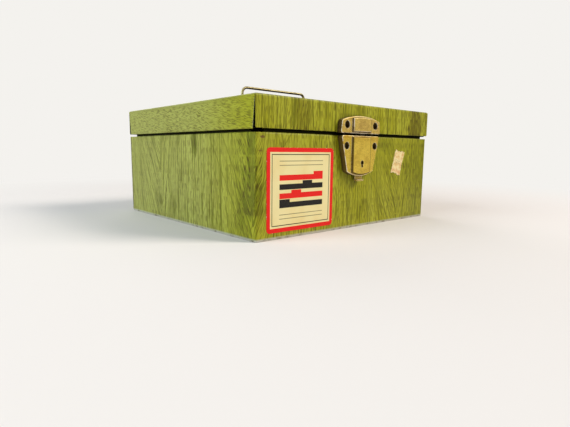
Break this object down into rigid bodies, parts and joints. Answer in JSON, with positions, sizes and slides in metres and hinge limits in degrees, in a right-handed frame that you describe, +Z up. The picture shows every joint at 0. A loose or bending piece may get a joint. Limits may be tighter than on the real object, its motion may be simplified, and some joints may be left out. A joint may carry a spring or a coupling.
{
  "type": "metal file box",
  "caption": "Low square sheet-steel file box with printed wood grain, a hinged lid, a folding wire bail handle and a keyed latch with a thumb release on the front.",
  "frame": {"origin": "centre of the flat face that the box stands on", "axes": "+Z up; the front with the latch faces -Y; +X is to the right seen from the front"},
  "size_m": [0.211, 0.2196, 0.1231],
  "materials": {
    "printed_green": "olive green wood-grain print on sheet steel, satin gloss",
    "printed_green_lid": "olive green wood-grain print on sheet steel, satin gloss",
    "pan_steel": "green enamel floor with bare worn rim",
    "hinge_steel": "plain rolled steel, slightly dulled",
    "latch_brass": "brass-plated stamping, satin with light tarnish",
    "clip_brass": "brass-plated strap",
    "handle_brass": "brass-plated wire",
    "lever_brass": "brass-plated lever",
    "works_steel": "plain steel lock works",
    "spring_steel": "blued spring steel",
    "rivet_steel": "dark oxidised rivet steel",
    "label_paper": "cream paper with a red frame and dark rules, no words"
  },
  "bodies": {
    "body": {"body_wrap": "printed_green", "bottom_pan": "pan_steel", "hinge_leaf_body": "hinge_steel", "hinge_pin": "hinge_steel", "lock_case": "latch_brass", "lock_base_plate": "works_steel", "lever_pivot": "works_steel", "key_post": "works_steel", "lever_spring": "spring_steel", "lock_rivets": "rivet_steel", "front_label": "label_paper"},
    "lid": {"lid_shell": "printed_green_lid", "hinge_leaf_lid": "hinge_steel", "catch_plate": "latch_brass", "catch_hook": "works_steel", "catch_rivets": "rivet_steel", "handle_clip_left": "clip_brass", "handle_clip_right": "clip_brass"},
    "handle": {"handle_bail": "handle_brass"},
    "release": {"release_lever": "lever_brass"},
    "tumbler": {"key_tumbler": "works_steel"}
  },
  "joints": [
    {"name": "lid_hinge", "type": "hinge", "parent": "body", "child": "lid", "pos_m": [0, 0.10525, 0.07715], "axis": [-1, 0, 0], "range_deg": [0, 100]},
    {"name": "handle_fold", "type": "hinge", "parent": "lid", "child": "handle", "pos_m": [0, 0, 0.1032], "axis": [1, 0, 0], "range_deg": [-90, 90]},
    {"name": "release_swing", "type": "hinge", "parent": "body", "child": "release", "pos_m": [0, -0.1087, 0.0635], "axis": [0, -1, 0], "range_deg": [0, 8], "stiffness_Nm_per_rad": 0.02},
    {"name": "tumbler_turn", "type": "hinge", "parent": "body", "child": "tumbler", "pos_m": [0, -0.1074, 0.0544], "axis": [0, 1, 0], "range_deg": [0, 90]}
  ]
}
